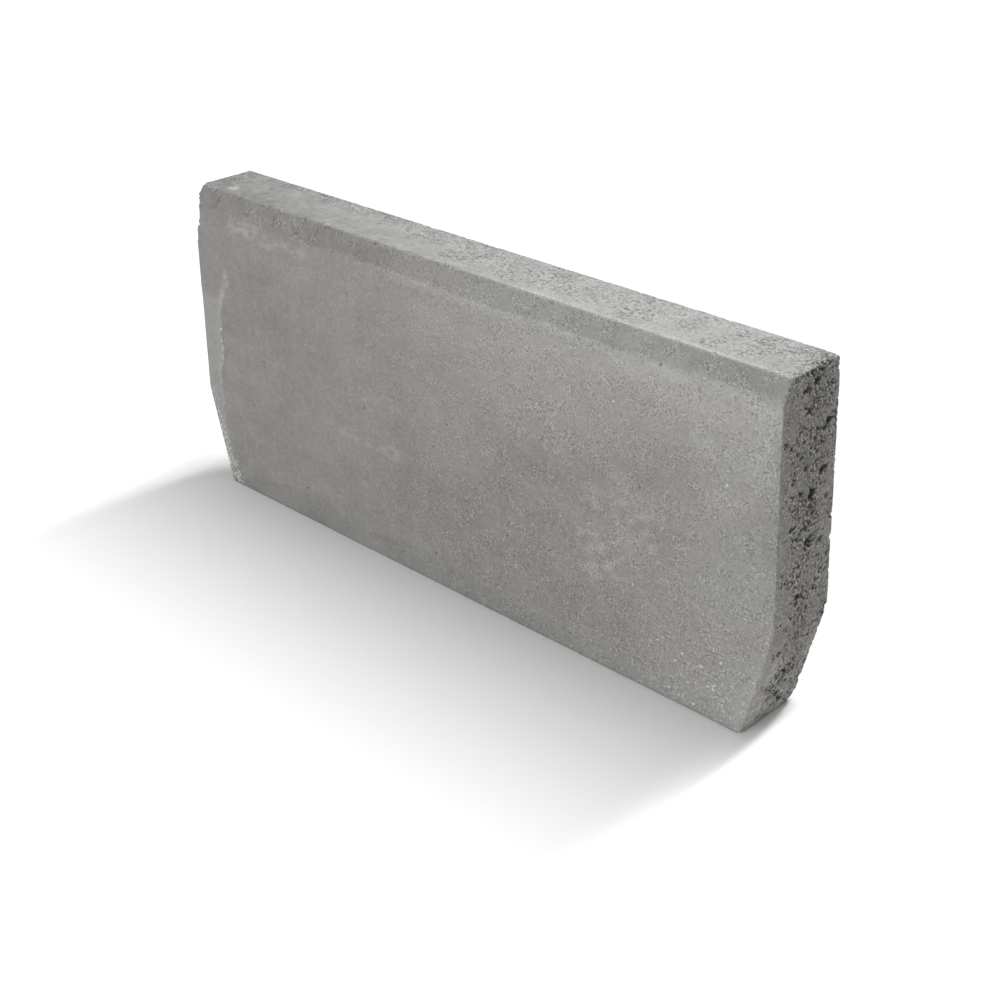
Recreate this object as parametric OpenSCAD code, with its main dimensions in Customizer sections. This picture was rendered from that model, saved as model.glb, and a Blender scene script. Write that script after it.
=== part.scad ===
// Concrete edging kerb: one pressed slab that stands on its long narrow bed.
// The foot of each end slopes in, and a bevel runs along the top of the front face.
// X runs along the stone, Y from the front face to the back, Z up from the middle of the bed.

/* [Stone] */
// Length from one end face to the other
stone_length = 500; // [300:5:1000]
// Height from the bed to the top
stone_height = 220; // [150:5:400]
// Thickness from the front face to the back face
stone_thickness = 50; // [40:1:120]

/* [Foot of each end] */
// How far the end has sloped in where it meets the bed
foot_inset = 20; // [5:1:60]
// Height above the bed at which the slope starts
foot_rise = 70; // [20:1:110]

/* [Front bevel] */
// How far the bevel leans back from the front face
bevel_depth = 7; // [3:0.5:20]
// Height of the bevel below the top
bevel_height = 13; // [5:0.5:30]

/* [Arrises] */
// Radius that the mould leaves on the arrises along the stone
arris_radius = 2; // [0.5:0.25:3]

/* [Hidden] */
$fn = 64;

// How far an outline is extruded past the faces that another outline cuts
overshoot = 10;

half_length = stone_length / 2;
half_thickness = stone_thickness / 2;

// Corners of the section across the stone: Y, then Z
section_corners = [
  [-half_thickness, 0],
  [half_thickness, 0],
  [half_thickness, stone_height],
  [bevel_depth - half_thickness, stone_height],
  [-half_thickness, stone_height - bevel_height],
];

// Corners of the outline seen from the front: X, then Z
front_corners = [
  [foot_inset - half_length, 0],
  [half_length - foot_inset, 0],
  [half_length, foot_rise],
  [half_length, stone_height],
  [-half_length, stone_height],
  [-half_length, foot_rise],
];

function direction(from, to) = (to - from) / norm(to - from);

// The sliver between a sharp corner and the arc that rounds it
module corner_waste(before, corner, after, radius) {
  back = direction(corner, before);
  ahead = direction(corner, after);
  half_angle = acos(back * ahead) / 2;
  reach = radius / tan(half_angle);
  centre = corner + direction([0, 0], back + ahead) * radius / sin(half_angle);
  difference() {
    polygon([corner, corner + ahead * reach, centre, corner + back * reach]);
    translate(centre) circle(radius);
  }
}

// A convex outline with every corner rounded to one radius
module rounded_outline(corners, radius) {
  count = len(corners);
  difference() {
    polygon(corners);
    for (i = [0 : count - 1])
      corner_waste(corners[(i + count - 1) % count], corners[i], corners[(i + 1) % count], radius);
  }
}

// The section, with its arrises rounded, carried along the stone
module section_bar() {
  reach = half_length + overshoot;
  rotate([90, 0, 90])
    translate([0, 0, -reach])
      linear_extrude(2 * reach) rounded_outline(section_corners, arris_radius);
}

// The front outline carried through the thickness; its cut arrises stay crisp
module front_slab() {
  reach = half_thickness + overshoot;
  rotate([90, 0, 0])
    translate([0, 0, -reach])
      linear_extrude(2 * reach) polygon(front_corners);
}

module kerb_stone() {
  color("darkgray")
    intersection() {
      section_bar();
      front_slab();
    }
}

kerb_stone();
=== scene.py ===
# %% [markdown]
# # A pressed concrete edging kerb
# The real stone is one casting: semi-dry concrete, shaken and pressed in a steel mould, then pushed out.
# The mould leaves the front face tight and sandy, the top gritty, and both ends open and full of voids.
# The CAD solid already has the size, the foot slopes and the bevel. This script gives it its skin:
# worn arrises, voids and grit as real shape, and the finish of the concrete as nodes.

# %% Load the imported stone
import math

import bpy
import numpy as np
from mathutils import Euler, Matrix, Vector


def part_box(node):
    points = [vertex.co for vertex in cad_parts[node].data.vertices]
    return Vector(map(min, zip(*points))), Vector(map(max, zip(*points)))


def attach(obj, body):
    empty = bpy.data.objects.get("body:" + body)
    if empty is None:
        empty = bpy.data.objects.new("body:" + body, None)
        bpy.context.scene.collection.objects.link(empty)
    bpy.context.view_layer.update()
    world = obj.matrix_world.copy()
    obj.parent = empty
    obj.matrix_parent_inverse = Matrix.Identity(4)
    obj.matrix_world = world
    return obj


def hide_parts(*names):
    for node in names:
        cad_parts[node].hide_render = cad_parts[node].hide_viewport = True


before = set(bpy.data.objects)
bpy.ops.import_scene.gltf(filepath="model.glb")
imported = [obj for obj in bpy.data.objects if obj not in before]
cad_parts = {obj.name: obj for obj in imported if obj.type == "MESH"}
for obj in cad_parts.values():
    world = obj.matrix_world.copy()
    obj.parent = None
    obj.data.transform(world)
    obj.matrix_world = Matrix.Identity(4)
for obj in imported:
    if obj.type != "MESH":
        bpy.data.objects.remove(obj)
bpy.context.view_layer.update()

MM = 0.001
STONE = "kerb_stone"
low, high = (np.array(corner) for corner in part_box(STONE))
half_length, half_thickness = (high - low)[:2] / 2
height = high[2]


def mm(*lengths):
    """Lengths in mm, turned into metres."""
    return tuple(length * MM for length in lengths)


print("CAD stone in mm:", np.round((high - low) / MM, 2))

# %% [markdown]
# ## Noise
# Concrete is random at every scale, so all its relief is built from one kind of repeatable noise.
# Blender has noise textures, but the relief here has to be real shape, so the noise is worked out
# with numpy at every point of the mesh. A hash of the lattice cell stands in for a table of random
# numbers, which makes the same stone on every run, and the lattice is turned so that
# its lines never run along a side of the stone. Noise has a spread of 1, so easing it from -1 to 2 means
# from one spread below its mean to two above. Each pattern has a seed of its own.

# %% Repeatable noise at any point
CELL_CORNERS = np.array([(i, j, k) for i in (0, 1) for j in (0, 1) for k in (0, 1)])
MIXERS = np.array([0x9E3779B97F4A7C15, 0xC2B2AE3D27D4EB4F, 0x165667B19E3779F9], np.uint64)
SEED_STEP = 0x27D4EB2F
PART_SHIFTS = np.array([0, 21, 42], np.uint64)
PART_TOP = 0x1FFFFF
LATTICE_TURN = np.array(Euler((0.5, 0.7, 0.3)).to_matrix())
NOISE_SPREAD = 0.191


def hashed(cells, seed):
    """Three numbers from -1 to 1 for each whole-number cell: the cell's numbers are multiplied by large
    odd numbers and mixed bit by bit, and three runs of 21 bits are read as fractions."""
    parts = cells.astype(np.int64).astype(np.uint64) * MIXERS
    mixed = parts[..., 0] ^ parts[..., 1] ^ parts[..., 2] ^ np.uint64(seed * SEED_STEP)
    mixed = (mixed ^ (mixed >> np.uint64(30))) * MIXERS[1]
    mixed = (mixed ^ (mixed >> np.uint64(27))) * MIXERS[2]
    mixed = mixed ^ (mixed >> np.uint64(31))
    fractions = (mixed[..., None] >> PART_SHIFTS) & np.uint64(PART_TOP)
    return 2 * fractions.astype(float) / PART_TOP - 1


def soft_noise(points, grain, seed):
    """Gradient noise: every corner of a lattice of step `grain` has a random slope, and a point takes
    the heights that its cell's eight slopes give it, blended smoothly. Its mean is 0 and its spread 1."""
    place = points @ LATTICE_TURN / grain
    cell = np.floor(place)
    part = place - cell
    share = part**3 * (part * (6 * part - 15) + 10)
    total = np.zeros(len(points))
    for corner in CELL_CORNERS:
        slope_height = np.sum(hashed(cell + corner, seed) * (part - corner), axis=1)
        total += np.prod(np.where(corner, share, 1 - share), axis=1) * slope_height
    return total / NOISE_SPREAD


def cloudy(points, grain, seed, layers=3):
    """Layers of noise, each half as coarse and half as strong as the one before, with a spread of 1."""
    weights = 0.5 ** np.arange(layers)
    noises = [soft_noise(points, grain * weight, seed + n) for n, weight in enumerate(weights)]
    return weights @ np.array(noises) / np.linalg.norm(weights)


def ease(start, end, values):
    """0 before start, 1 after end, and a smooth S between them. start may be the larger one."""
    part = np.clip((values - start) / (end - start), 0, 1)
    return part * part * (3 - 2 * part)


def band(values, start, end, fade):
    """1 from start to end, easing to 0 over the fade on both sides."""
    return ease(start - fade, start, values) * ease(end + fade, end, values)


def bell(values, middle, reach):
    """1 at the middle and falling on both sides: e to minus the square of the distance in reaches."""
    return np.exp(-(((values - middle) / reach) ** 2))


sample = cloudy(np.random.default_rng(1).uniform(-1, 1, (4000, 3)), 4 * MM, 1)
print("noise: mean %.2f, spread %.2f" % (sample.mean(), sample.std()))

# %% [markdown]
# ## Grains
# Where the skin is torn, concrete shows the grains of its mix: each has its own patch, and some have
# fallen out and left a hole. Scattering one grain middle in each cell of a lattice and asking every point
# for the nearest middle gives just that. A random number per grain then says which are missing.

# %% Nearest grain at any point
NEIGHBOURS = np.array([(i, j, k) for i in (-1, 0, 1) for j in (-1, 0, 1) for k in (-1, 0, 1)])
HOLE_RIM, HOLE_FLOOR = 0.75, 0.35


def nearest_grain(points, grain, seed):
    """The distance to the nearest of the scattered grain middles, in grains, and that grain's own random
    number from -1 to 1. Only the point's cell and the 26 around it can hold the nearest one."""
    place = points @ LATTICE_TURN / grain
    cell = np.floor(place)
    distance = np.full(len(points), np.inf)
    pick = np.zeros(len(points))
    for step in NEIGHBOURS:
        middle = cell + step + 0.5 + 0.5 * hashed(cell + step, seed)
        away = np.linalg.norm(place - middle, axis=1)
        pick = np.where(away < distance, hashed(cell + step, seed + 1)[:, 0], pick)
        distance = np.minimum(distance, away)
    return distance, pick


def fallen_out(points, grain, seed, threshold):
    """1 in the holes of grains whose random number passes the threshold, easing to 0 at their rims."""
    distance, pick = nearest_grain(points, grain, seed)
    return np.where(pick > threshold, ease(HOLE_RIM, HOLE_FLOOR, distance), 0)


print("grains:", len(NEIGHBOURS), "cells are searched for each point")

# %% [markdown]
# ## The skin of the block
# The stone is a block, so its skin is six grids that share their borders. One lattice of stations
# along X, Y and Z gives all six. The ends and the top are rough and need every station, while the front,
# back and bed are nearly flat and keep only every third one inside. Along the arrises all are
# kept, so neighbouring sides share each point and the skin is closed without any merging.

# %% Stations and the lattice of the skin
def stations(start, end, margins, counts):
    """Places along one axis, evenly spaced inside a first margin, the middle and a last margin."""
    borders = (start, start + margins[0], end - margins[1], end)
    parts = [np.linspace(*borders[n:n + 2], count, endpoint=False) for n, count in enumerate(counts)]
    return np.concatenate([*parts, [end]])


def way_round(step):
    """The steps from a cell's first corner to all places on its border, in order."""
    ahead = np.arange(step)
    still = np.full(step, step)
    first = np.concatenate([ahead, still, step - ahead, 0 * still])
    second = np.concatenate([0 * still, ahead, still, step - ahead])
    return np.stack([first, second], axis=1)


def block_skin(axes, side_steps):
    """The skin of a lattice block. A side is the lattice with one index held at its first or last value,
    cut into cells of so many steps. A cell's face takes its corners, and all places on the side's
    own border. Gives the points used, the points round each face in one row, and the faces' counts."""
    counts = [len(axis) for axis in axes]
    number = np.arange(np.prod(counts)).reshape(counts)
    rounds, sizes = [], []
    for (axis, end), step in side_steps.items():
        side = np.take(number, end, axis=axis)
        last = np.array(side.shape) - 1
        firsts = np.stack(np.meshgrid(*(np.arange(0, n, step) for n in last), indexing="ij"), axis=-1)
        turned = (axis == 1) == (end == -1)
        places = firsts.reshape(-1, 1, 2) + way_round(step)[::-1 if turned else 1]
        on_border = np.any((places == 0) | (places == last), axis=-1)
        kept = np.all(places % step == 0, axis=-1) | on_border
        rounds.append(side[places[..., 0], places[..., 1]][kept])
        sizes.append(kept.sum(axis=1))
    used, rounds = np.unique(np.concatenate(rounds), return_inverse=True)
    places = np.unravel_index(used, counts)
    points = np.stack([axis[place] for axis, place in zip(axes, places)], axis=1)
    return points, rounds, np.concatenate(sizes)


ROUGH, FLAT = 1, 3
SIDE_STEPS = {(0, 0): ROUGH, (0, -1): ROUGH, (1, 0): FLAT, (1, -1): FLAT, (2, 0): FLAT, (2, -1): ROUGH}
along = stations(-half_length, half_length, margins=mm(24, 10), counts=(60, 261, 24))
across = stations(-half_thickness, half_thickness, margins=mm(4, 4), counts=(6, 54, 6))
upward = stations(0, height, margins=mm(6, 16), counts=(12, 282, 36))
block_points, rounds, sizes = block_skin((along, across, upward), SIDE_STEPS)
faces = np.split(rounds, np.cumsum(sizes)[:-1])
print("skin:", len(block_points), "points,", len(faces), "faces,", int((sizes - 2).sum()), "triangles")

# %% [markdown]
# ## Worn arrises
# New arrises come out of the mould almost sharp, and handling then rubs and crumbles them. A Bevel modifier
# would give one even radius everywhere. Here each point is pulled back to a core inside the block and
# pushed out again by a radius that changes from place to place, so an arris is tight in one spot,
# crumbled in the next, and rubbed round where the stone was dragged.

# %% Where the arrises are worn
RUBBED_LEVELS = mm(95, 25)
ARRIS_REACH = mm(12, 4)
RAGGED_ACROSS = mm(-3, 4)
CRUMBLY_RIGHT = mm(90, 220)
CRUMBLY_LEFT = mm(-190, -225)
WORN_BEVEL = mm(60, -60)
BELOW_TOP = mm(9, 3)
BEHIND_FRONT = mm(4, 1)


def rubbed_arris(points):
    """1 at the foot of the right arris of the front, fading up the stone, to the left and to the back."""
    x, y, z = points.T
    right_front = ease(0, half_length, x) * ease(half_thickness, -half_thickness, y)
    return right_front * ease(*RUBBED_LEVELS, z)


def ragged_arris(points):
    """1 along the back part of the arris between the top and the right end, where the grains broke away."""
    x, y, z = points.T
    near_end = ease(*ARRIS_REACH, half_length - x)
    near_top = ease(*ARRIS_REACH, height - z)
    return near_end * near_top * ease(*RAGGED_ACROSS, y)


def crumbly_foot(points):
    """1 along the lower arris of the front near both ends, fading to the middle, upwards and backwards."""
    x, y, z = points.T
    near_end = np.maximum(ease(*CRUMBLY_RIGHT, x), ease(*CRUMBLY_LEFT, x))
    return near_end * ease(*ARRIS_REACH, z) * ease(0, -half_thickness, y)


def crumbly_bevel(points):
    """1 along the left half of the arris between the bevel and the top, fading to the right
    and to the back."""
    x, y, z = points.T
    near_arris = ease(*BELOW_TOP, height - z) * ease(*BEHIND_FRONT, y + half_thickness)
    return ease(*WORN_BEVEL, x) * near_arris


for worn_place in (rubbed_arris, ragged_arris, crumbly_foot, crumbly_bevel):
    print(worn_place.__name__, "points:", int((worn_place(block_points) > 0.5).sum()))

# %% Round the arrises by a radius that wanders
TIGHT_RADIUS, WANDER_RADIUS, CRUMBLE_RADIUS = mm(0.35, 0.4, 1.6)
RAGGED_RADIUS, FOOT_RADIUS, BEVEL_RADIUS, RUBBED_RADIUS = mm(3.4, 0.8, 1.8, 2)
CORNER_RADIUS, CORNER_REACH = mm(1.4, 9)
SMOOTH_SIDE = 6 * MM


def arris_radii(points):
    """The radius of the arris near each point, along X, Y and Z: a tight one, a slow wander, and crumbs
    where a finer noise is high, on the rough back side, the ragged arris, the foot and the bevel. One
    upper corner is worn round. X and Y get more where the arris is rubbed."""
    radius = TIGHT_RADIUS + WANDER_RADIUS * ease(-1, 2, cloudy(points, 30 * MM, 11))
    rough_side = ease(SMOOTH_SIDE - half_thickness, half_thickness, points[:, 1])
    radius += CRUMBLE_RADIUS * rough_side * ease(0.8, 2.2, cloudy(points, 5 * MM, 12))
    radius += RAGGED_RADIUS * ragged_arris(points) * ease(-0.4, 1.3, cloudy(points, 4 * MM, 13))
    radius += FOOT_RADIUS * crumbly_foot(points) * ease(0.3, 1.8, cloudy(points, 6 * MM, 14))
    radius += BEVEL_RADIUS * crumbly_bevel(points) * ease(-0.3, 1.4, cloudy(points, 5 * MM, 16))
    radius += CORNER_RADIUS * np.exp(-np.sum(((points - high) / CORNER_REACH) ** 2, axis=1))
    rubbed = RUBBED_RADIUS * rubbed_arris(points)
    return np.stack([radius + rubbed, radius + rubbed, radius], axis=1)


def worn_block(points, radii):
    """Rounds the block: a point's core is the point held its radii inside the block, and the point is
    set on an ellipsoid of those radii round its core. Flats stay put. Also gives the directions."""
    core = np.clip(points, low + radii, high - radii)
    outward = (points - core) / radii
    outward /= np.linalg.norm(outward, axis=1, keepdims=True)
    return core + outward * radii, outward


worn_points, outward = worn_block(block_points, arris_radii(block_points))
pulled_in = np.linalg.norm(worn_points - block_points, axis=1)
print("furthest that an arris was pulled in, mm: %.1f" % (pulled_in.max() / MM))

# %% [markdown]
# ## Foot slopes and bevel
# The plain block is turned into the cast shape by two leans. Below the foot rise the length shrinks
# steadily, and above the bevel's fold the front leans back. Both folds are a little soft,
# as pressed concrete never holds a knife edge in a hollow of its mould.

# %% Lean the ends and the top of the front
FOOT_INSET = 20 * MM
FOOT_RISE = 70 * MM
BEVEL_DEPTH = 7 * MM
BEVEL_HEIGHT = 13 * MM
FOLD_SOFTNESS = 1.4 * MM
fold_height = height - BEVEL_HEIGHT


def soft_floor(values):
    """max(values, 0) with its corner rounded: half of the value plus the root of its square
    and the softness squared."""
    return (values + np.sqrt(values**2 + FOLD_SOFTNESS**2)) / 2


def cast_shape(points):
    """Shrinks X towards the foot and moves the front back above the fold, by straight leans with soft
    starts. The back stays where it is, and points between follow in proportion."""
    x, y, z = points.T
    inset = FOOT_INSET / FOOT_RISE * soft_floor(FOOT_RISE - z)
    lean = BEVEL_DEPTH / BEVEL_HEIGHT * soft_floor(z - fold_height)
    depth_share = (half_thickness - y) / (2 * half_thickness)
    return np.stack([x * (1 - inset / half_length), y + lean * depth_share, z], axis=1)


cast_points = cast_shape(worn_points)
print("bed length, mm: %.1f" % (np.ptp(cast_points[cast_points[:, 2] < 1 * MM, 0]) / MM))

# %% [markdown]
# ## Chips
# A knocked corner doesn't wear round: a shell-shaped flake breaks out and leaves a hollow. Each chip here
# is an egg scooped out of the stone. The points inside the egg are set on its surface, straight away from
# its middle, and noise dents the egg because concrete breaks round its grains.

# %% Scoop out the chips
CHIP_EGGS = (
    ((-252, -30, 203), (7.4, 15, 18)),
    ((-252.5, -27.5, 186), (4.2, 5, 9)),
    ((-253, -22, 223), (6.5, 8, 12)),
    ((-236, -27.5, 13), (4.6, 4, 6)),
    ((251.5, 8, 222), (4.8, 4.5, 4.5)),
    ((251.5, 16, 222), (5, 4, 4)),
    ((251.5, 27.5, 113), (4.5, 4.5, 3.5)),
    ((236, 28, 16.5), (5, 6, 3.5)),
    ((234, 29, -3), (10, 10, 10)),
    ((-60, 27, 222), (6, 4, 3.6)),
    ((-253, 28, 60), (5, 6, 8)),
    ((-232, 28, -3), (7, 8, 8)),
    ((120, 28, -2), (14, 5, 5)),
)
CHIP_DENT = 0.1
BROKEN_DEPTH = 1.5 * MM


def chipped(points):
    """Scoops the eggs out, each given by its middle and its radii in mm: an offset from the middle is
    divided by the radii, and where its length is under 1 it is stretched to 1. Also gives how far
    the points moved."""
    moved = points.copy()
    dents = 1 + CHIP_DENT * cloudy(points, 5 * MM, 15)
    for middle, radii in CHIP_EGGS:
        offset = (moved / MM - middle) / np.array(radii)
        length = np.linalg.norm(offset, axis=1) / dents
        offset *= np.maximum(1 / length, 1)[:, None]
        moved = np.where((length < 1)[:, None], (offset * radii + middle) * MM, moved)
    return moved, np.linalg.norm(moved - points, axis=1)


chipped_points, chip_moves = chipped(cast_points)
broken = ease(0, BROKEN_DEPTH, chip_moves)
print("deepest chip, mm: %.1f" % (chip_moves.max() / MM))

# %% [markdown]
# ## Relief of each side
# The ends scrape along the mould, so the fines tear out and voids stay between the grains, apart from
# a tight strip beside the front. The top was struck off and is gritty towards the back. The front lay
# against the smooth mould plate. Each side gets its own depth below the mould line, and the depths
# blend round the arrises by how much a point faces that side.

# %% Voids and grit of the ends
TIGHT_STRIP = 5 * MM
FOOT_STRIP = 5 * MM
STRIP_BORDER = mm(-4, 5)
TORN_MIDDLE, TORN_REACH = mm(2, 10)
SKIN_DEPTH, GRAIN_DEPTH, PIT_DEPTH, VOID_DEPTH = mm(0.03, 0.2, 0.9, 2.4)
GROUND_GRAIN, PIT_GRAIN, HOLE_GRAIN = mm(1.9, 1.8, 3.6)
BIG_VOIDS = (
    (5, 212, 4.2), (-1, 196, 3.2), (17, 184, 3.2), (14, 157, 3.2), (-6, 149, 2.8),
    (5, 147, 3.6), (3, 117, 4.0), (-5, 85, 3.2), (3, 68, 2.6), (3, 33, 3.0),
    (8, 9, 3.2), (9, 218, 3.2), (1, 217, 2.4), (15, 219, 2.6),
)


def big_voids(points):
    """The largest voids of the right end, each given by its place across and up and its radius, in mm.
    Their borders are made ragged by noise."""
    ragged = 1.2 * cloudy(points, 2.5 * MM, 27)
    deep = np.zeros(len(points))
    for across_at, up_at, radius in BIG_VOIDS:
        away = np.hypot(points[:, 1] / MM - across_at, points[:, 2] / MM - up_at) + ragged
        deep = np.maximum(deep, ease(radius, 0.3 * radius, away))
    return deep * (points[:, 0] > 0)


def torn_share(points):
    """1 along the middle of the end, where the skin is torn most, fading to both sides and on the foot."""
    in_middle = bell(points[:, 1], TORN_MIDDLE, TORN_REACH)
    return in_middle * ease(-0.2 * FOOT_RISE, 0.8 * FOOT_RISE, points[:, 2])


def grainy_ground(points, torn, seed):
    """The depth between small grains that lie side by side, deeper where the skin is torn."""
    grains = np.minimum(nearest_grain(points, GROUND_GRAIN, seed)[0], 1)
    return SKIN_DEPTH + GRAIN_DEPTH * torn * grains


def end_relief(points):
    """Uneven ground of small grains, and pits and holes where grains fell out, more of them in open
    patches. All fade in the tight strip beside the front, which is wider on the foot.
    Gives the depth, a mask of painted shade for the holes and pits, and how torn."""
    on_foot = ease(FOOT_RISE, 0.5 * FOOT_RISE, points[:, 2])
    behind_front = points[:, 1] + half_thickness + 2 * MM * cloudy(points, 9 * MM, 21)
    zone = ease(*STRIP_BORDER, behind_front - TIGHT_STRIP - FOOT_STRIP * on_foot)
    patch = ease(-1.0, 0.9, cloudy(points, 15 * MM, 22))
    middle = torn_share(points)
    torn = zone * (0.3 + 0.2 * middle + 0.1 * on_foot + 0.5 * patch) + 0.3 * (1 - zone)
    holes = np.maximum(big_voids(points), 0.7 * fallen_out(points, HOLE_GRAIN, 23, 0.93 - 0.1 * patch))
    pits = fallen_out(points, PIT_GRAIN, 25, 0.96 - 0.5 * patch - 0.2 * middle)
    depth = grainy_ground(points, torn, 29) + zone * np.maximum(VOID_DEPTH * holes, PIT_DEPTH * pits)
    return depth, zone * np.maximum(holes, 0.8 * pits), torn


end_depth, end_void_shade, end_torn = end_relief(chipped_points)
print("deepest void of an end, mm: %.1f" % (end_depth.max() / MM))

# %% Grit of the top
SMOOTH_STRIP, WIDER_LEFT = mm(6, 24)
WIDENING = mm(20, -140)
SMOOTH_BORDER = mm(-2, 8)
ROUGH_RIGHT = mm(22, 12)
ROUGH_LEFT = mm(16, 8)
ROUGH_BACK = mm(-6, 3)
TOP_PIT_DEPTH, RAGGED_PIT_DEPTH = mm(0.7, 0.8)


def top_relief(points):
    """Fine grit with clustered pits. The strip beside the front stays smooth: a wide one on the left,
    a narrow one on the right. Both ends of the top are rough. Gives the same three as the ends."""
    x, y, z = points.T
    behind_bevel = y + half_thickness - BEVEL_DEPTH + 4 * MM * cloudy(points, 30 * MM, 31)
    smooth = SMOOTH_STRIP + WIDER_LEFT * ease(*WIDENING, x)
    patch = ease(-1.8, 1.3, cloudy(points, 13 * MM, 34))
    torn = ease(*SMOOTH_BORDER, behind_bevel - smooth) * (0.45 + 0.5 * patch)
    ragged_x = x + 4 * MM * cloudy(points, 10 * MM, 35)
    rough_right = ease(*ROUGH_RIGHT, half_length - ragged_x) * ease(*ROUGH_BACK, y)
    rough_left = ease(*ROUGH_LEFT, half_length + ragged_x)
    torn = np.max([torn, rough_right, 0.7 * rough_left], axis=0)
    pits = fallen_out(points, PIT_GRAIN, 33, 0.85 - 0.4 * torn)
    pit_depth = TOP_PIT_DEPTH + RAGGED_PIT_DEPTH * rough_right
    depth = grainy_ground(points, torn, 32) + pit_depth * torn * pits
    return depth, (0.65 + 0.35 * rough_right) * torn * pits, torn


top_depth, top_void_shade, top_torn = top_relief(chipped_points)
print("deepest pit of the top, mm: %.1f" % (top_depth.max() / MM))

# %% Waves of the flat faces
PLATE_WAVES = 0.05 * MM
FRONT_GRIT, BACK_GRIT = mm(0.015, 0.03)
MEAN_DEPTH = 1.5


def face_relief(points, grit):
    """Slow waves of the mould plate and a little grit, both measured from the mould line inwards."""
    waves = PLATE_WAVES * (MEAN_DEPTH + cloudy(points, 70 * MM, 41, 2))
    return np.maximum(waves + grit * (MEAN_DEPTH + cloudy(points, 5 * MM, 42, 2)), 0)


front_depth = face_relief(chipped_points, FRONT_GRIT)
back_depth = face_relief(chipped_points, BACK_GRIT)
print("mean depth of the front, mm: %.2f" % (front_depth.mean() / MM))

# %% Blend the sides
facing = outward**2
end_share = facing[:, 0]
top_share = np.where(outward[:, 2] > 0, facing[:, 2], 0)
front_share = np.where(outward[:, 1] < 0, facing[:, 1], 0)
back_share = np.where(outward[:, 1] > 0, facing[:, 1], 0)
bed_share = np.where(outward[:, 2] < 0, facing[:, 2], 0)
plain_share = back_share + bed_share

# A knocked corner of the left end breaks through sound concrete, which has few voids
sound = 1 - 0.8 * broken * (chipped_points[:, 0] < 0)
depth = sound * end_share * end_depth + top_share * top_depth
depth += front_share * front_depth + plain_share * back_depth
stone_points = chipped_points - outward * depth[:, None]
# The hollow mark is where the finish paints shade into voids and pits.
hollow = sound * end_share * end_void_shade + top_share * top_void_shade
print("deepest void, mm: %.1f" % (depth.max() / MM))

# %% [markdown]
# ## Pits on the bevel
# On the left the bevel didn't fill well, so fine pits show low on it and along its arris with the top.
# They are too small for the mesh. It only carries how torn the skin is, and the finish draws the pits as
# painted shade.

# %% Mark the torn skin
PITTED_BEVEL = mm(60, -120)
PITTED_ARRIS = mm(80, -60)
PITTED_HEIGHT, PITTED_FADE = mm(7, 4)
FROM_ARRIS = mm(5, 1)


def bevel_pits(points):
    """1 low on the left part of the bevel, in patches."""
    low_on_bevel = band(points[:, 2], fold_height, fold_height + PITTED_HEIGHT, PITTED_FADE)
    return low_on_bevel * ease(*PITTED_BEVEL, points[:, 0]) * ease(-0.3, 1.1, cloudy(points, 9 * MM, 36))


def arris_pits(points):
    """1 along the left part of the arris between the bevel and the top, in patches."""
    from_arris = height - block_points[:, 2] + block_points[:, 1] + half_thickness
    near_arris = ease(*FROM_ARRIS, from_arris) * ease(*PITTED_ARRIS, points[:, 0])
    return near_arris * ease(-0.3, 1.0, cloudy(points, 7 * MM, 37))


torn = end_share * end_torn + 0.6 * top_share * top_torn + 0.3 * plain_share
torn += 0.55 * front_share * bevel_pits(chipped_points)
torn = np.max([torn, 0.5 * broken, 0.6 * arris_pits(chipped_points)], axis=0)
print("torn skin: mean %.2f" % torn.mean())

# %% [markdown]
# ## The flaked left margin of the front
# Along the left arris of the front a thin skin has flaked off, with a lip at the strip's inner border.
# It is a small push along Y. The push fades over the first part of the thickness,
# so the end keeps its order and nothing folds over.

# %% Flake the left margin
FLAKE_LEVELS = MM * np.array([0, 20, 40, 60, 85, 105, 125, 142, 155, 168])
FLAKE_WIDTHS = MM * np.array([2, 5, 9, 13, 17, 18, 19, 23, 27, 29])
FLAKE_WAVE = 0.9 * MM
FLAKE_LIP = mm(-0.5, 1)
FLAKE_TOP, FLAKE_TOP_FADE = mm(142, 5)
FLAKE_DEPTH = 0.35 * MM
FLAKE_FADE = 12 * MM


def from_left_arris(points):
    """How far each point lies to the right of the left arris, which leans in below the foot rise."""
    inset = FOOT_INSET / FOOT_RISE * soft_floor(FOOT_RISE - points[:, 2])
    return points[:, 0] + half_length - inset


def inside_flake(points):
    """How far each point lies inside the wavy inner border of the flaked strip, towards the left arris."""
    level = points[:, 2:] * np.array([0, 0, 1])
    wave = FLAKE_WAVE * cloudy(level, 14 * MM, 51)
    return np.interp(points[:, 2], FLAKE_LEVELS, FLAKE_WIDTHS) + wave - from_left_arris(points)


flake_reach = inside_flake(chipped_points)
flake = ease(*FLAKE_LIP, flake_reach)
flake *= ease(FLAKE_TOP_FADE, -FLAKE_TOP_FADE, chipped_points[:, 2] - FLAKE_TOP)
push = FLAKE_DEPTH * flake * ease(FLAKE_FADE, 0, stone_points[:, 1] + half_thickness)
stone_points[:, 1] += push
stone_points = np.clip(stone_points, low, high)
stone_points[:, 2] -= stone_points[:, 2].min()
print("flaked points:", int((flake * front_share > 0.5).sum()))
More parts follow.
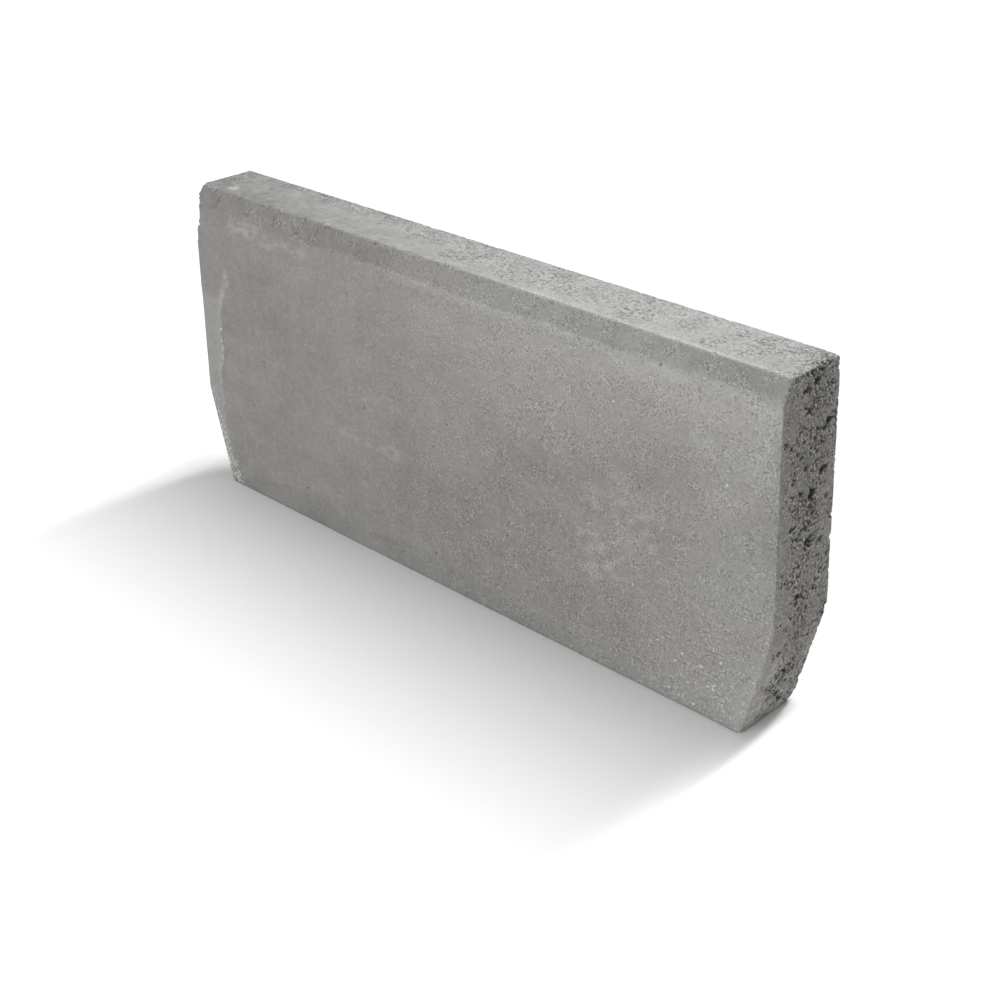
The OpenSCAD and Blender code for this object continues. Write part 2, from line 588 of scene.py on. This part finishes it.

# %% [markdown]
# ## The tone of the paste
# The cement paste isn't even. Lime has bloomed under the bevel's fold, and a pale line along the fold is
# partly wear and partly painted highlight. The right margin is paler, and the bevel is darker where the
# mould pressed hardest. The foot, most of all on the left, and the lower middle of the front are darker as
# painted shade from the shadowed floor. The ends are paler towards their foot as painted light from the
# floor. These follow the shape, so they are worked out from the same points as the relief, and added up to
# one mark for the finish to read: 0 is the darkest paste and 1 the palest.

# %% Lime and damp on the front
LEVEL_STREAKS = np.array([0.3, 1, 1])
SHORT_STREAKS = np.array([0.6, 1, 1])
BLOOM_LEFT = mm(-110, -50)
BLOOM_RIGHT = mm(20, 170)
BLOOM_END = 210 * MM
BLOOM_FADE, WIDER_RIGHT = mm(5, 13)
FOLD_WEAR_AND_HIGHLIGHT_DEPTH = mm(1.5, 4, 2.5)
FOLD_WEAR_AND_HIGHLIGHT_SPAN = mm(-45, 60, 15)
UPPER_RIGHT_SPAN, UPPER_RIGHT_LEVELS = mm(-80, 90), mm(110, 180)
MARGIN_START = 90 * MM
FOOT_SHADE_LEVEL = 13 * MM
FOOT_SHADE_BORDER = mm(4, -3)
FOOT_SHADE_SPAN = mm(170, -120)
LIME_SMEARS = (
    (0.16, (-212, -135, 8), (195, 199, 4)),
    (0.14, (-210, -182, 4), (197, 205, 3)),
    (0.12, (-115, -45, 12), (79, 83, 4)),
)
SCUFF_X, SCUFF_Z = mm(140, 88)
SCUFF_REACH = mm(55, 20)
SCUFF_SLANT, SCUFF_STRETCH = 0.65, 0.12


def lime_bloom_and_fold_highlight(x, z, points):
    """Strong just under the fold and fading downwards, faster on the left than on the right, and weaker at
    the right end. Its peak at the fold is partly wear and partly painted highlight where the fold catches
    light. Noise breaks it up. The upper right and the right margin are paler too."""
    below_fold = np.maximum(fold_height - z, 0)
    right = ease(*BLOOM_RIGHT, x)
    bloom = (0.1 + 0.1 * right) * bell(below_fold, 0, BLOOM_FADE + WIDER_RIGHT * right)
    bloom *= ease(*BLOOM_LEFT, x) * (1 - 0.55 * ease(BLOOM_END, half_length, x))
    # A pale line just below the fold: partly wear, partly painted highlight where the fold catches light.
    bloom += 0.06 * band(below_fold, *FOLD_WEAR_AND_HIGHLIGHT_DEPTH) * band(x, *FOLD_WEAR_AND_HIGHLIGHT_SPAN)
    streaks = 0.4 + 0.6 * ease(-1.5, 1.0, cloudy(points * LEVEL_STREAKS, 12 * MM, 61))
    upper_right = 0.11 * ease(*UPPER_RIGHT_SPAN, x) * ease(*UPPER_RIGHT_LEVELS, z)
    margin = 0.07 * ease(MARGIN_START, half_length, x + 12 * MM * cloudy(points, 40 * MM, 62))
    return bloom * streaks + upper_right + margin


def smeared_lime(x, z, points):
    """Soft pale smears, each with its tone and its start, end and fade along and up, in mm: a level one
    below the fold near the left corner with a short one above it, and a fainter one lower down.
    Slanted scuffs lie on the right, as from a neighbour in the stack."""
    streaks = ease(-0.5, 1.3, cloudy(points * SHORT_STREAKS, 4.5 * MM, 63))
    smears = sum(tone * band(x / MM, *span) * band(z / MM, *levels) for tone, span, levels in LIME_SMEARS)
    along_scuff = np.stack([x + SCUFF_SLANT * z, SCUFF_STRETCH * (x - z), 0 * x], axis=1)
    patch = ease(*SCUFF_REACH, np.hypot(x - SCUFF_X, z - SCUFF_Z))
    return smears * streaks + 0.18 * patch * ease(0.2, 1.8, cloudy(along_scuff, 5 * MM, 71))


def foot_shade(x, z, points):
    """1 along the foot below a wavy border, strongest on the left: where painted shade darkens the paste,
    as from the shadowed floor in front.
    """
    above_border = z - FOOT_SHADE_LEVEL - 4 * MM * cloudy(points, 30 * MM, 64)
    return ease(*FOOT_SHADE_BORDER, above_border) * ease(*FOOT_SHADE_SPAN, x)


print("lime smears:", len(LIME_SMEARS))

# %% Tone of the front
FRONT_BASE = 0.21
SOFT_CLOUDS_AND_LOW_SHADE = (
    (-190, 145, 65, 45, -0.045),
    (5, 186, 110, 24, 0.055),
    # Painted shade low in the middle, from the shadowed floor in front.
    (-10, 50, 110, 30, -0.04),
    (190, 10, 80, 18, 0.065),
)
LIP_MIDDLE, LIP_WIDTH = mm(1, 2.2)
LIP_TIP = mm(146, 160, 12)
LIP_LENGTH = mm(75, 140, 10)
LIP_SHADOW_MIDDLE, LIP_SHADOW_WIDTH = mm(-2.8, 1.6)
LIP_SHADOW_LENGTH = mm(80, 142, 15)
DARK_LEFT_SPAN, DARK_LEFT_LEVELS = mm(-205, -240), mm(140, 165)
DARK_RIGHT_REACH, DARK_RIGHT_LEVELS = mm(14, 2), mm(70, 130)
RUBBED_HIGHLIGHT_REACH = mm(10, 3)


def soft_clouds_and_low_shade(x, z):
    """Broad dry and moist places, and a darker place low in the middle that is painted shade from the
    shadowed floor, each given by its middle and its reach along and up, in mm, and its tone."""
    total = np.zeros(len(x))
    for place_x, place_z, reach_x, reach_z, tone in SOFT_CLOUDS_AND_LOW_SHADE:
        away = ((x / MM - place_x) / reach_x) ** 2 + ((z / MM - place_z) / reach_z) ** 2
        total += tone * np.exp(-away)
    return total


def flake_tone_and_lip_shadow(z):
    """The flaked strip is paler, with a bright lip at its inner border and a painted shadow of the lip
    beside it.
    """
    lip = bell(flake_reach, LIP_MIDDLE, LIP_WIDTH)
    lip *= 0.22 * band(z, *LIP_TIP) + 0.06 * band(z, *LIP_LENGTH)
    # A dark line beside the lip: painted shadow of the lip.
    lip_shadow = bell(flake_reach, LIP_SHADOW_MIDDLE, LIP_SHADOW_WIDTH)
    return 0.1 * flake + lip - 0.07 * lip_shadow * band(z, *LIP_SHADOW_LENGTH)


def front_tone(points):
    """Slow clouds of the paste, the blooms and smears of lime, painted shade at the foot and the flake. The
    left margin is darker above the flake, and the right arris above its rubbed foot, which is paler as
    painted highlight where the rounded arris catches the front light."""
    x, y, z = points.T
    clouds = 0.015 * cloudy(points, 70 * MM, 65) + 0.01 * cloudy(points * LEVEL_STREAKS, 14 * MM, 66)
    tone = FRONT_BASE + clouds + soft_clouds_and_low_shade(x, z) + lime_bloom_and_fold_highlight(x, z, points) + smeared_lime(x, z, points)
    # Painted shade low on the front, where the floor in front lies in the stone's shadow.
    tone -= 0.07 * foot_shade(x, z, points)
    tone -= 0.05 * ease(*DARK_LEFT_SPAN, x) * ease(*DARK_LEFT_LEVELS, z)
    tone -= 0.08 * ease(*DARK_RIGHT_REACH, half_length - x) * ease(*DARK_RIGHT_LEVELS, z)
    # Painted highlight: a paler band beside the rubbed right arris, where the rounded arris catches the
    # front light.
    from_right_arris = half_length - FOOT_INSET * ease(FOOT_RISE, 0, z) - x
    tone += 0.07 * rubbed_arris(points) * ease(*RUBBED_HIGHLIGHT_REACH, from_right_arris)
    return tone + flake_tone_and_lip_shadow(z)


front_paste = front_tone(chipped_points)
print("front tone: mean %.2f" % np.average(front_paste, weights=front_share))

# %% Tone of the bevel and the top
BEVEL_BASE, TOP_BASE = 0.11, 0.15
BEVEL_PALER = mm(-90, 10)
BEVEL_END = 190 * MM
TOP_END = 205 * MM
PALE_CHIP = np.array([-224, -9, 220]) * MM
CHIP_STRETCH = np.array([0.8, 1.2, 1])
CHIP_BORDER = mm(5, 2.5)
RUBBED_LINE, RUBBED_LINE_SPAN = mm(4, 1), mm(-10, 60)
BACKWARDS, BACKWARDS_SPAN = mm(-16, 14), mm(60, -40)


def bevel_tone(points):
    """Darker than the front, more so on the left and at the right end."""
    x = points[:, 0]
    shift = 0.15 * ease(*BEVEL_PALER, x) - 0.06 * ease(BEVEL_END, half_length, x)
    return BEVEL_BASE + shift + 0.02 * cloudy(points, 20 * MM, 72)


def chip_reach(points):
    """How far each point lies from the pale chip of the top, with a wavy border."""
    away = np.linalg.norm((points - PALE_CHIP) * CHIP_STRETCH, axis=1)
    return away + 1 * MM * cloudy(points, 5 * MM, 73)


def top_tone(points):
    """Paler from left to right, with a pale rubbed line along the front arris of the right half, and darker
    again at the rough right end. The left half is paler at the back. One chip on the left is pale."""
    x, y, z = points.T
    shift = 0.39 * ease(-1.2 * half_length, 0.5 * half_length, x) - 0.09 * ease(TOP_END, half_length, x)
    patches = 0.035 * cloudy(points, 14 * MM, 68) + 0.035 * cloudy(points, 4.5 * MM, 78)
    rubbed_line = ease(*RUBBED_LINE, y + half_thickness - BEVEL_DEPTH) * ease(*RUBBED_LINE_SPAN, x)
    backwards = (ease(*BACKWARDS, y) - 0.5) * ease(*BACKWARDS_SPAN, x)
    pale_chip = ease(*CHIP_BORDER, chip_reach(points))
    return TOP_BASE + shift + patches + 0.08 * backwards + 0.08 * rubbed_line + 0.35 * pale_chip


bevel_paste = bevel_tone(chipped_points)
top_paste = top_tone(chipped_points)
print("top tone: mean %.2f" % np.average(top_paste, weights=top_share))

# %% Tone of the ends and the back
END_BASE, BACK_BASE = 0.17, 0.27
FOOT_BLEND = 10 * MM
FLOOR_LIT_BESIDE_FRONT = mm(4, -16)
FLOOR_LIT_LEVELS = mm(32, 10)


def end_tone(points):
    """Darkest in the torn middle. Paler downwards, and most of all on the foot slope beside the front:
    painted light, as from the bright floor below.
    """
    x, y, z = points.T
    on_foot = ease(FOOT_RISE + FOOT_BLEND, 0.4 * FOOT_RISE, z)
    floor_lit_beside_front = ease(*FLOOR_LIT_BESIDE_FRONT, y)
    # Painted light from the floor: paler downwards, and most of all on the foot slope, which faces the
    # floor.
    tone = END_BASE + (0.07 + 0.04 * floor_lit_beside_front) * ease(0.9 * height, FOOT_RISE, z)
    tone += 0.04 * cloudy(points, 12 * MM, 69) + 0.09 * on_foot * cloudy(points, 5 * MM, 79)
    tone += on_foot * (0.18 + 0.17 * floor_lit_beside_front) + 0.08 * ease(*FLOOR_LIT_LEVELS, z)
    return tone - 0.08 * torn_share(points)


def back_tone(points):
    """The front's paste without its weather marks, with the same painted shade at the foot."""
    x, y, z = points.T
    clouds = 0.04 * cloudy(points, 80 * MM, 70) + 0.03 * cloudy(points * LEVEL_STREAKS, 14 * MM, 74)
    return BACK_BASE + clouds - 0.06 * foot_shade(x, z, points)


end_paste = end_tone(chipped_points)
back_paste = back_tone(chipped_points)
print("end tone: mean %.2f" % np.average(end_paste, weights=end_share))

# %% Add up the tone
FOLD_WAVE = 0.8 * MM
FOLD_BLUR, BLUR_RIGHT = mm(1.5, 3)
BLUR_SPAN = mm(120, 240)
above_fold = worn_points[:, 2] + FOLD_WAVE * cloudy(worn_points, 9 * MM, 77) - fold_height
fold_blur = FOLD_BLUR + BLUR_RIGHT * ease(*BLUR_SPAN, worn_points[:, 0])
bevel_share = front_share * ease(-1, 1, above_fold / fold_blur)
flat_share = front_share - bevel_share
paste = flat_share * front_paste + bevel_share * bevel_paste + top_share * top_paste
paste += end_share * end_paste + plain_share * back_paste
print("paste tone: mean %.2f, from %.2f to %.2f" % (paste.mean(), paste.min(), paste.max()))

# %% [markdown]
# ## Where lime crumbs lie
# Scrapes, the lip of the flake and the rubbed arrises are dusted with crumbs of white lime. The mesh is too
# coarse for single crumbs, so it only carries how likely they are at each point,
# and the finish breaks that up into crumbs with a fine noise.

# %% Mark the limed places
LIMED_LIP_WIDTH = 2 * MM
LIMED_TIP = mm(142, 166, 8)
LIMED_LENGTH = mm(60, 120, 15)
LIMED_FOOT = mm(95, 50)
FOOT_SPREAD, WIDER_FOOT = mm(14, 12)
WIDER_LEVELS, DENSER_LEVELS = mm(30, 8), mm(45, 15)
FOOT_CRUMBS = 3 * MM
SPRINKLE_SPAN, SPRINKLE_LEVELS = mm(40, 220), mm(120, 15)
LIMED_CHIP = mm(5, 3)
LIMED_ARRIS, LIMED_ARRIS_SPAN = mm(5, 1), mm(0, 80)


def limed_front(points):
    """Crumbs on the lip, strongest at its top, along the left foot arris, and as a sprinkle
    over the lower right."""
    x, y, z = points.T
    lip = bell(flake_reach, 0, LIMED_LIP_WIDTH)
    lip *= 0.3 * band(z, *LIMED_TIP) + 0.45 * band(z, *LIMED_LENGTH)
    spread = FOOT_SPREAD + WIDER_FOOT * ease(*WIDER_LEVELS, z)
    foot_arris = ease(spread, FOOT_CRUMBS, from_left_arris(points)) * ease(*LIMED_FOOT, z)
    foot_arris *= 0.6 + 0.2 * ease(*DENSER_LEVELS, z)
    sprinkle = 0.35 * ease(*SPRINKLE_SPAN, x) * ease(*SPRINKLE_LEVELS, z)
    return np.max([lip, foot_arris, sprinkle], axis=0)


def limed_top(points):
    """Crumbs on the pale chip, and along the front arris of the right half."""
    x, y, z = points.T
    arris = ease(*LIMED_ARRIS, y + half_thickness - BEVEL_DEPTH) * ease(*LIMED_ARRIS_SPAN, x)
    return np.maximum(0.4 * ease(*LIMED_CHIP, chip_reach(points)), 0.5 * arris)


limed = flat_share * limed_front(chipped_points) + top_share * limed_top(chipped_points)
print("limed: mean %.3f" % limed.mean())

# %% Collect the marks
NEUTRAL_RIGHT = mm(130, 240)
NEUTRAL_FOOT = mm(26, 10)
NEUTRAL_BELOW_FOLD, NEUTRAL_FOLD_SPAN = 20 * MM, mm(-60, 60)


def neutral_grey(points):
    """1 where the front is plain grey and not rosy: on the right, at the foot, below the right part
    of the fold, and on the flake."""
    x, y, z = points.T
    right = ease(*NEUTRAL_RIGHT, x + 20 * MM * cloudy(points, 50 * MM, 75))
    foot = ease(*NEUTRAL_FOOT, z + 4 * MM * cloudy(points, 30 * MM, 76))
    fold = ease(fold_height - NEUTRAL_BELOW_FOLD, fold_height, z) * ease(*NEUTRAL_FOLD_SPAN, x)
    return np.max([right, foot, fold, flake], axis=0)


rightwards = ease(-half_length, half_length, chipped_points[:, 0])
marks = {
    "paste": np.clip(paste, 0, 1),
    "torn": np.clip(torn, 0, 1),
    "hollow": hollow,
    "sandy": rightwards * (0.5 + 0.5 * front_share),
    "limed": np.clip(limed, 0, 1),
    "rosy": front_share * (1 - 0.8 * neutral_grey(chipped_points)) + back_share,
    "tawny": end_share,
}
print("marks:", {name: round(float(values.mean()), 3) for name, values in marks.items()})

# %% [markdown]
# ## The mesh
# The arrays go into a mesh as they are. Smooth shading lets the grid carry soft relief.
# Besides the shape, the mesh keeps the marks of each point, which the finish reads as attributes.

# %% Put the arrays into a mesh
def mesh_piece(name, points, faces, marks):
    """A mesh object from whole arrays: corners, faces, and one float attribute for each mark."""
    mesh = bpy.data.meshes.new(name)
    mesh.from_pydata(points, [], faces)
    for mark, values in marks.items():
        mesh.attributes.new(mark, "FLOAT", "POINT").data.foreach_set("value", values.astype(np.float32))
    mesh.shade_smooth()
    mesh.validate()
    piece = bpy.data.objects.new(name, mesh)
    bpy.context.scene.collection.objects.link(piece)
    return piece


stone = mesh_piece("pressed_stone", stone_points, faces, marks)
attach(stone, "root")
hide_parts(STONE)
print("pressed_stone:", len(stone.data.vertices), "points,", len(stone.data.polygons), "faces")

# %% [markdown]
# ## The finish of the concrete
# Cement paste, sand and moisture give concrete three scales of colour: slow clouds across the stone,
# patches the size of a thumb, and sand grains. An image would repeat and stretch.
# Noise nodes on Object coordinates run through the solid instead, so the pattern goes round the arrises.

# %% Node helpers
def srgb(red, green, blue):
    """A colour as the eye reads it, 0 to 255, turned into the linear light that Blender works in."""
    parts = np.array([red, green, blue]) / 255
    linear = np.where(parts <= 0.04045, parts / 12.92, ((parts + 0.055) / 1.055) ** 2.4)
    return (*linear.tolist(), 1.0)


def node(tree, kind, values=None, **settings):
    """Adds a node. Settings are its own choices. Values go to its sockets: an output is linked,
    anything else is a constant."""
    made = tree.nodes.new(kind)
    for name, setting in settings.items():
        setattr(made, name, setting)
    for key, value in (values or {}).items():
        if isinstance(value, bpy.types.NodeSocket):
            tree.links.new(value, made.inputs[key])
        else:
            made.inputs[key].default_value = value
    return made


def grain_noise(tree, place, grain, detail, rough):
    """Noise whose blobs are about one grain across."""
    values = {"Vector": place, "Scale": 1 / grain, "Detail": detail, "Roughness": rough}
    return node(tree, "ShaderNodeTexNoise", values).outputs[0]


def between(tree, value, start, end, low_out=0.0, high_out=1.0):
    """Carries the range start to end over to low_out to high_out with a smooth S, and holds it outside."""
    values = {0: value, 1: start, 2: end, 3: low_out, 4: high_out}
    return node(tree, "ShaderNodeMapRange", values, interpolation_type="SMOOTHSTEP").outputs[0]


def maths(tree, operation, first, second):
    """One sum on two values."""
    return node(tree, "ShaderNodeMath", {0: first, 1: second}, operation=operation).outputs[0]


def times(tree, first, second):
    """One value times another."""
    return maths(tree, "MULTIPLY", first, second)


def blend(tree, share, first, second, how="MIX"):
    """Mixes two colours by a share."""
    values = {0: share, 6: first, 7: second}
    return node(tree, "ShaderNodeMix", values, data_type="RGBA", blend_type=how).outputs[2]


def mark(tree, name):
    """A mark that the mesh keeps for each point."""
    return node(tree, "ShaderNodeAttribute", attribute_name=name).outputs["Fac"]


def dots(tree, place, spacing, radius, share):
    """Round dots: one possible dot in each cell of a random cell pattern, kept in a share of the cells."""
    cells = node(tree, "ShaderNodeTexVoronoi", {"Vector": place, "Scale": 1 / spacing}).outputs
    inside = between(tree, cells["Distance"], radius / spacing, 0.5 * radius / spacing)
    pick = node(tree, "ShaderNodeSeparateColor", {0: cells["Color"]}).outputs[0]
    return times(tree, inside, maths(tree, "GREATER_THAN", pick, 1 - share))


def seen_directly(tree):
    """1 for what the camera sees, also in a mirror or through glass, and 0 for light on the stone."""
    rays = node(tree, "ShaderNodeLightPath").outputs
    seen = maths(tree, "MAXIMUM", rays["Is Camera Ray"], rays["Is Glossy Ray"])
    return maths(tree, "MAXIMUM", seen, rays["Is Transmission Ray"])


print("node helpers made")

# %% Colours and grains of the concrete
DARK_PASTE = srgb(111, 110.5, 108.5)
PALE_PASTE = srgb(195, 195, 193)
ROSY_TINT = (1.022, 0.994, 0.998, 1.0)
TAWNY_TINT = (1.0, 0.98, 0.935, 1.0)
PLAIN = (1.0, 1.0, 1.0, 1.0)
SAND_DARK = srgb(78, 76, 73)
SAND_PALE = srgb(188, 187, 184)
BARE_GRAIN_AND_HIGHLIGHT = srgb(220, 219, 216)
LIME = srgb(206, 206, 203)
# VOID_SHADE is painted shade, for voids, pits and pinholes.
VOID_SHADE = srgb(46, 45, 41)
PATCH_GRAIN, CLOUD_GRAIN = mm(18, 5)
PASTE_SWING = 0.03
SAND_GRAIN, SAND_PATCH = mm(1.2, 9)
TORN_GRAIN, CRUMB_GRAIN = mm(1.7, 1.6)


def paste_colour(tree, place):
    """The tone that the mesh carries, with thumb-sized patches and finer clouds added. The moulded faces
    are a little rosy, and on the torn ends the sand makes it yellower."""
    swing = (0.3, 0.7, -PASTE_SWING, PASTE_SWING)
    patches = between(tree, grain_noise(tree, place, PATCH_GRAIN, 3, 0.6), *swing)
    clouds = between(tree, grain_noise(tree, place, CLOUD_GRAIN, 2, 0.6), *swing)
    tone = maths(tree, "ADD", mark(tree, "paste"), maths(tree, "ADD", patches, clouds))
    colour = blend(tree, tone, DARK_PASTE, PALE_PASTE)
    colour = blend(tree, 1.0, colour, blend(tree, mark(tree, "rosy"), PLAIN, ROSY_TINT), "MULTIPLY")
    return blend(tree, 1.0, colour, blend(tree, mark(tree, "tawny"), PLAIN, TAWNY_TINT), "MULTIPLY")


def sanded(tree, colour, place, sand, sandy):
    """Sand shows as dark and pale grains in the paste, in patches, and most where the mesh is sandy."""
    gathered = between(tree, grain_noise(tree, place, SAND_PATCH, 2, 0.6), 0.39, 0.6, 0.36, 1.0)
    strength = times(tree, between(tree, sandy, 0.05, 0.72, 0.19, 0.5), gathered)
    dark = times(tree, between(tree, sand, 0.48, 0.34), strength)
    pale = times(tree, between(tree, sand, 0.57, 0.71), strength)
    return blend(tree, pale, blend(tree, dark, colour, SAND_DARK), SAND_PALE)


def dotted(tree, colour, place, sand, sandy):
    """Pinholes of trapped air with ragged rims, painted dark as painted shade, and single specks of lime
    where the paste is sandy.
    """
    ragged = between(tree, sand, 0.62, 0.42, 0, 0.65)
    pinholes = times(tree, dots(tree, place, 13 * MM, 1.5 * MM, 0.2), ragged)
    colour = blend(tree, pinholes, colour, VOID_SHADE)
    specks = times(tree, dots(tree, place, 8 * MM, 1.1 * MM, 0.12), times(tree, sandy, 0.7))
    return blend(tree, specks, colour, LIME)


def lime_crumbs(tree, colour, place, sand):
    """Loose crumbs and a finer dust of lime, where dots or a fine noise and the limed mark are high."""
    limed = mark(tree, "limed")
    sprinkled = times(tree, between(tree, limed, 0.12, 0.34, 0.0, 0.75), between(tree, sand, 0.42, 0.56))
    crumbs = times(tree, dots(tree, place, 4.5 * MM, 1.5 * MM, 0.3), sprinkled)
    colour = blend(tree, crumbs, colour, LIME)
    dust = maths(tree, "ADD", grain_noise(tree, place, CRUMB_GRAIN, 2, 0.6), times(tree, limed, 0.22))
    covered = times(tree, between(tree, dust, 0.62, 0.78), between(tree, limed, 0.02, 0.6, 0.0, 0.75))
    return blend(tree, covered, colour, LIME)


def torn_grains(tree, colour, grains, torn):
    """Where the skin is torn, fine pits get painted shade, and bare grains are pale, partly as painted
    highlights. Voids get the darkest painted shade, with ragged borders.
    """
    pits = times(tree, between(tree, grains, 0.46, 0.4), torn)
    bare = times(tree, between(tree, grains, 0.56, 0.63), torn)
    colour = blend(tree, times(tree, pits, 0.9), colour, VOID_SHADE)
    colour = blend(tree, times(tree, bare, 0.4), colour, BARE_GRAIN_AND_HIGHLIGHT)
    ragged = maths(tree, "ADD", mark(tree, "hollow"), between(tree, grains, 0.3, 0.7, -0.2, 0.2))
    return blend(tree, between(tree, ragged, 0.2, 0.85, 0, 0.93), colour, VOID_SHADE)


print("sand grain, mm:", SAND_GRAIN / MM)

# %% Concrete
MATT, WEAK_SHINE = 0.9, 0.25
GRIT_HEIGHT, GRIT_STRENGTH = 0.8 * MM, 0.8


def concrete():
    """Paste, sand, pinholes, lime and shaded voids, all matt, with sand and grains as a fine bump."""
    material = bpy.data.materials.new("pressed_concrete")
    material.use_nodes = True
    tree = material.node_tree
    shader = tree.nodes["Principled BSDF"]
    place = node(tree, "ShaderNodeTexCoord").outputs["Object"]
    torn = mark(tree, "torn")
    sandy = mark(tree, "sandy")
    sand = grain_noise(tree, place, SAND_GRAIN, 1, 0.5)
    grains = grain_noise(tree, place, TORN_GRAIN, 2, 0.6)

    colour = sanded(tree, paste_colour(tree, place), place, sand, sandy)
    colour = dotted(tree, colour, place, sand, sandy)
    colour = lime_crumbs(tree, colour, place, sand)
    colour = torn_grains(tree, colour, grains, torn)
    tree.links.new(colour, shader.inputs["Base Color"])
    shader.inputs["Roughness"].default_value = MATT
    shader.inputs["Specular IOR Level"].default_value = WEAK_SHINE

    grit = maths(tree, "ADD", times(tree, sand, 0.5), times(tree, grains, 0.6))
    grit = times(tree, grit, between(tree, torn, 0, 1, 0.15, 1))
    bump_values = {"Strength": GRIT_STRENGTH, "Distance": GRIT_HEIGHT, "Height": grit}
    bump = node(tree, "ShaderNodeBump", bump_values)
    tree.links.new(bump.outputs[0], shader.inputs["Normal"])
    return material


stone.data.materials.append(concrete())
print("finish:", len(stone.data.materials[0].node_tree.nodes), "nodes")

# %% [markdown]
# ## Floor and light
# The stone stands on a white floor. A long strip light above and behind it brightens the top and throws a
# shadow forward that fades out evenly, and a weaker light from the front left opens up the front. They are
# suns with wide discs, because a sun lights a large floor evenly, so the floor meets the white surround
# without an edge. The strip is a row of suns, each leaning back a little more than the one before.

# %% Floor and surround
FLOOR_REACH = 12.0
FLOOR_WHITE = srgb(240, 240, 240)
FLOOR_BOUNCE = srgb(205, 205, 205)


def white_floor():
    """White where it is seen. What it throws back on the stone is greyer, as from a studio sweep."""
    material = bpy.data.materials.new("white_floor")
    material.use_nodes = True
    tree = material.node_tree
    shader = tree.nodes["Principled BSDF"]
    floor_colour = blend(tree, seen_directly(tree), FLOOR_BOUNCE, FLOOR_WHITE)
    tree.links.new(floor_colour, shader.inputs["Base Color"])
    shader.inputs["Roughness"].default_value = 1.0
    shader.inputs["Specular IOR Level"].default_value = 0.0
    return material


corners = FLOOR_REACH * np.array([(-1, -1, 0), (1, -1, 0), (1, 1, 0), (-1, 1, 0)])
floor = mesh_piece("floor", corners, [(0, 1, 2, 3)], {})
floor.data.materials.append(white_floor())

SURROUND_LIGHT = 0.4
world = bpy.data.worlds.new("surround")
bpy.context.scene.world = world
world.use_nodes = True
tree = world.node_tree
strength = node(tree, "ShaderNodeMapRange", {0: seen_directly(tree), 3: SURROUND_LIGHT, 4: 1.0}).outputs[0]
tree.links.new(strength, tree.nodes["Background"].inputs["Strength"])
tree.nodes["Background"].inputs["Color"].default_value = (1, 1, 1, 1)
print("floor and surround made")

# %% Strip light and fill
def broad_sun(name, towards_light, strength, disc_degrees):
    """A sun whose light comes from the given direction, with a wide disc for soft shadows."""
    sun = bpy.data.lights.new(name, "SUN")
    sun.energy = strength
    sun.angle = math.radians(disc_degrees)
    lamp = bpy.data.objects.new(name, sun)
    lamp.rotation_mode = "QUATERNION"
    lamp.rotation_quaternion = Vector(towards_light).to_track_quat("Z", "Y")
    bpy.context.scene.collection.objects.link(lamp)


KEY_STRENGTH = 2.9
KEY_SIDEWAYS, KEY_TWIST = 0.18, -0.1
KEY_SUNS = 12
KEY_DISC = 5
FILL_STRENGTH = 1.75
FILL_TOWARDS = (-0.2, -0.95, 0.26)
FILL_DISC = 35
for number in range(KEY_SUNS):
    lean = (number + 0.5) / KEY_SUNS
    towards_light = (KEY_SIDEWAYS + KEY_TWIST * lean, lean, 1)
    broad_sun(f"key_strip_{number}", towards_light, KEY_STRENGTH / KEY_SUNS, KEY_DISC)
broad_sun("fill_front", FILL_TOWARDS, FILL_STRENGTH, FILL_DISC)
bpy.context.scene.view_settings.view_transform = "Standard"

# %% [markdown]
# ## Camera
# The photograph looks at the front from the right and from above. Place, turn and lens were worked out
# from the corners of the stone. The picture is the lower part of a wider view, as from a shift lens,
# so the camera has a small shift of its own.

# %% Camera
VIEW_AZIMUTH = math.radians(44.97)
VIEW_ELEVATION = math.radians(21.09)
VIEW_ROLL = math.radians(-1.05)
CAMERA_PLACE = (0.7242, -0.7018, 0.5815)
CAMERA_LENS = 63.49
CAMERA_SHIFT = -0.2
SENSOR_WIDTH = 36

towards_camera = Vector((
    math.sin(VIEW_AZIMUTH) * math.cos(VIEW_ELEVATION),
    -math.cos(VIEW_AZIMUTH) * math.cos(VIEW_ELEVATION),
    math.sin(VIEW_ELEVATION),
))
rightward = Vector((math.cos(VIEW_AZIMUTH), math.sin(VIEW_AZIMUTH), 0))
upright = towards_camera.cross(rightward)
turn = Matrix((rightward, upright, towards_camera)).transposed() @ Matrix.Rotation(VIEW_ROLL, 3, "Z")

camera = bpy.data.objects.new("camera", bpy.data.cameras.new("camera"))
camera.data.sensor_width = SENSOR_WIDTH
camera.data.lens = CAMERA_LENS
camera.data.shift_y = CAMERA_SHIFT
camera.matrix_world = Matrix.Translation(CAMERA_PLACE) @ turn.to_4x4()
bpy.context.scene.collection.objects.link(camera)
bpy.context.scene.camera = camera
print("camera at", tuple(round(v, 3) for v in camera.matrix_world.translation))
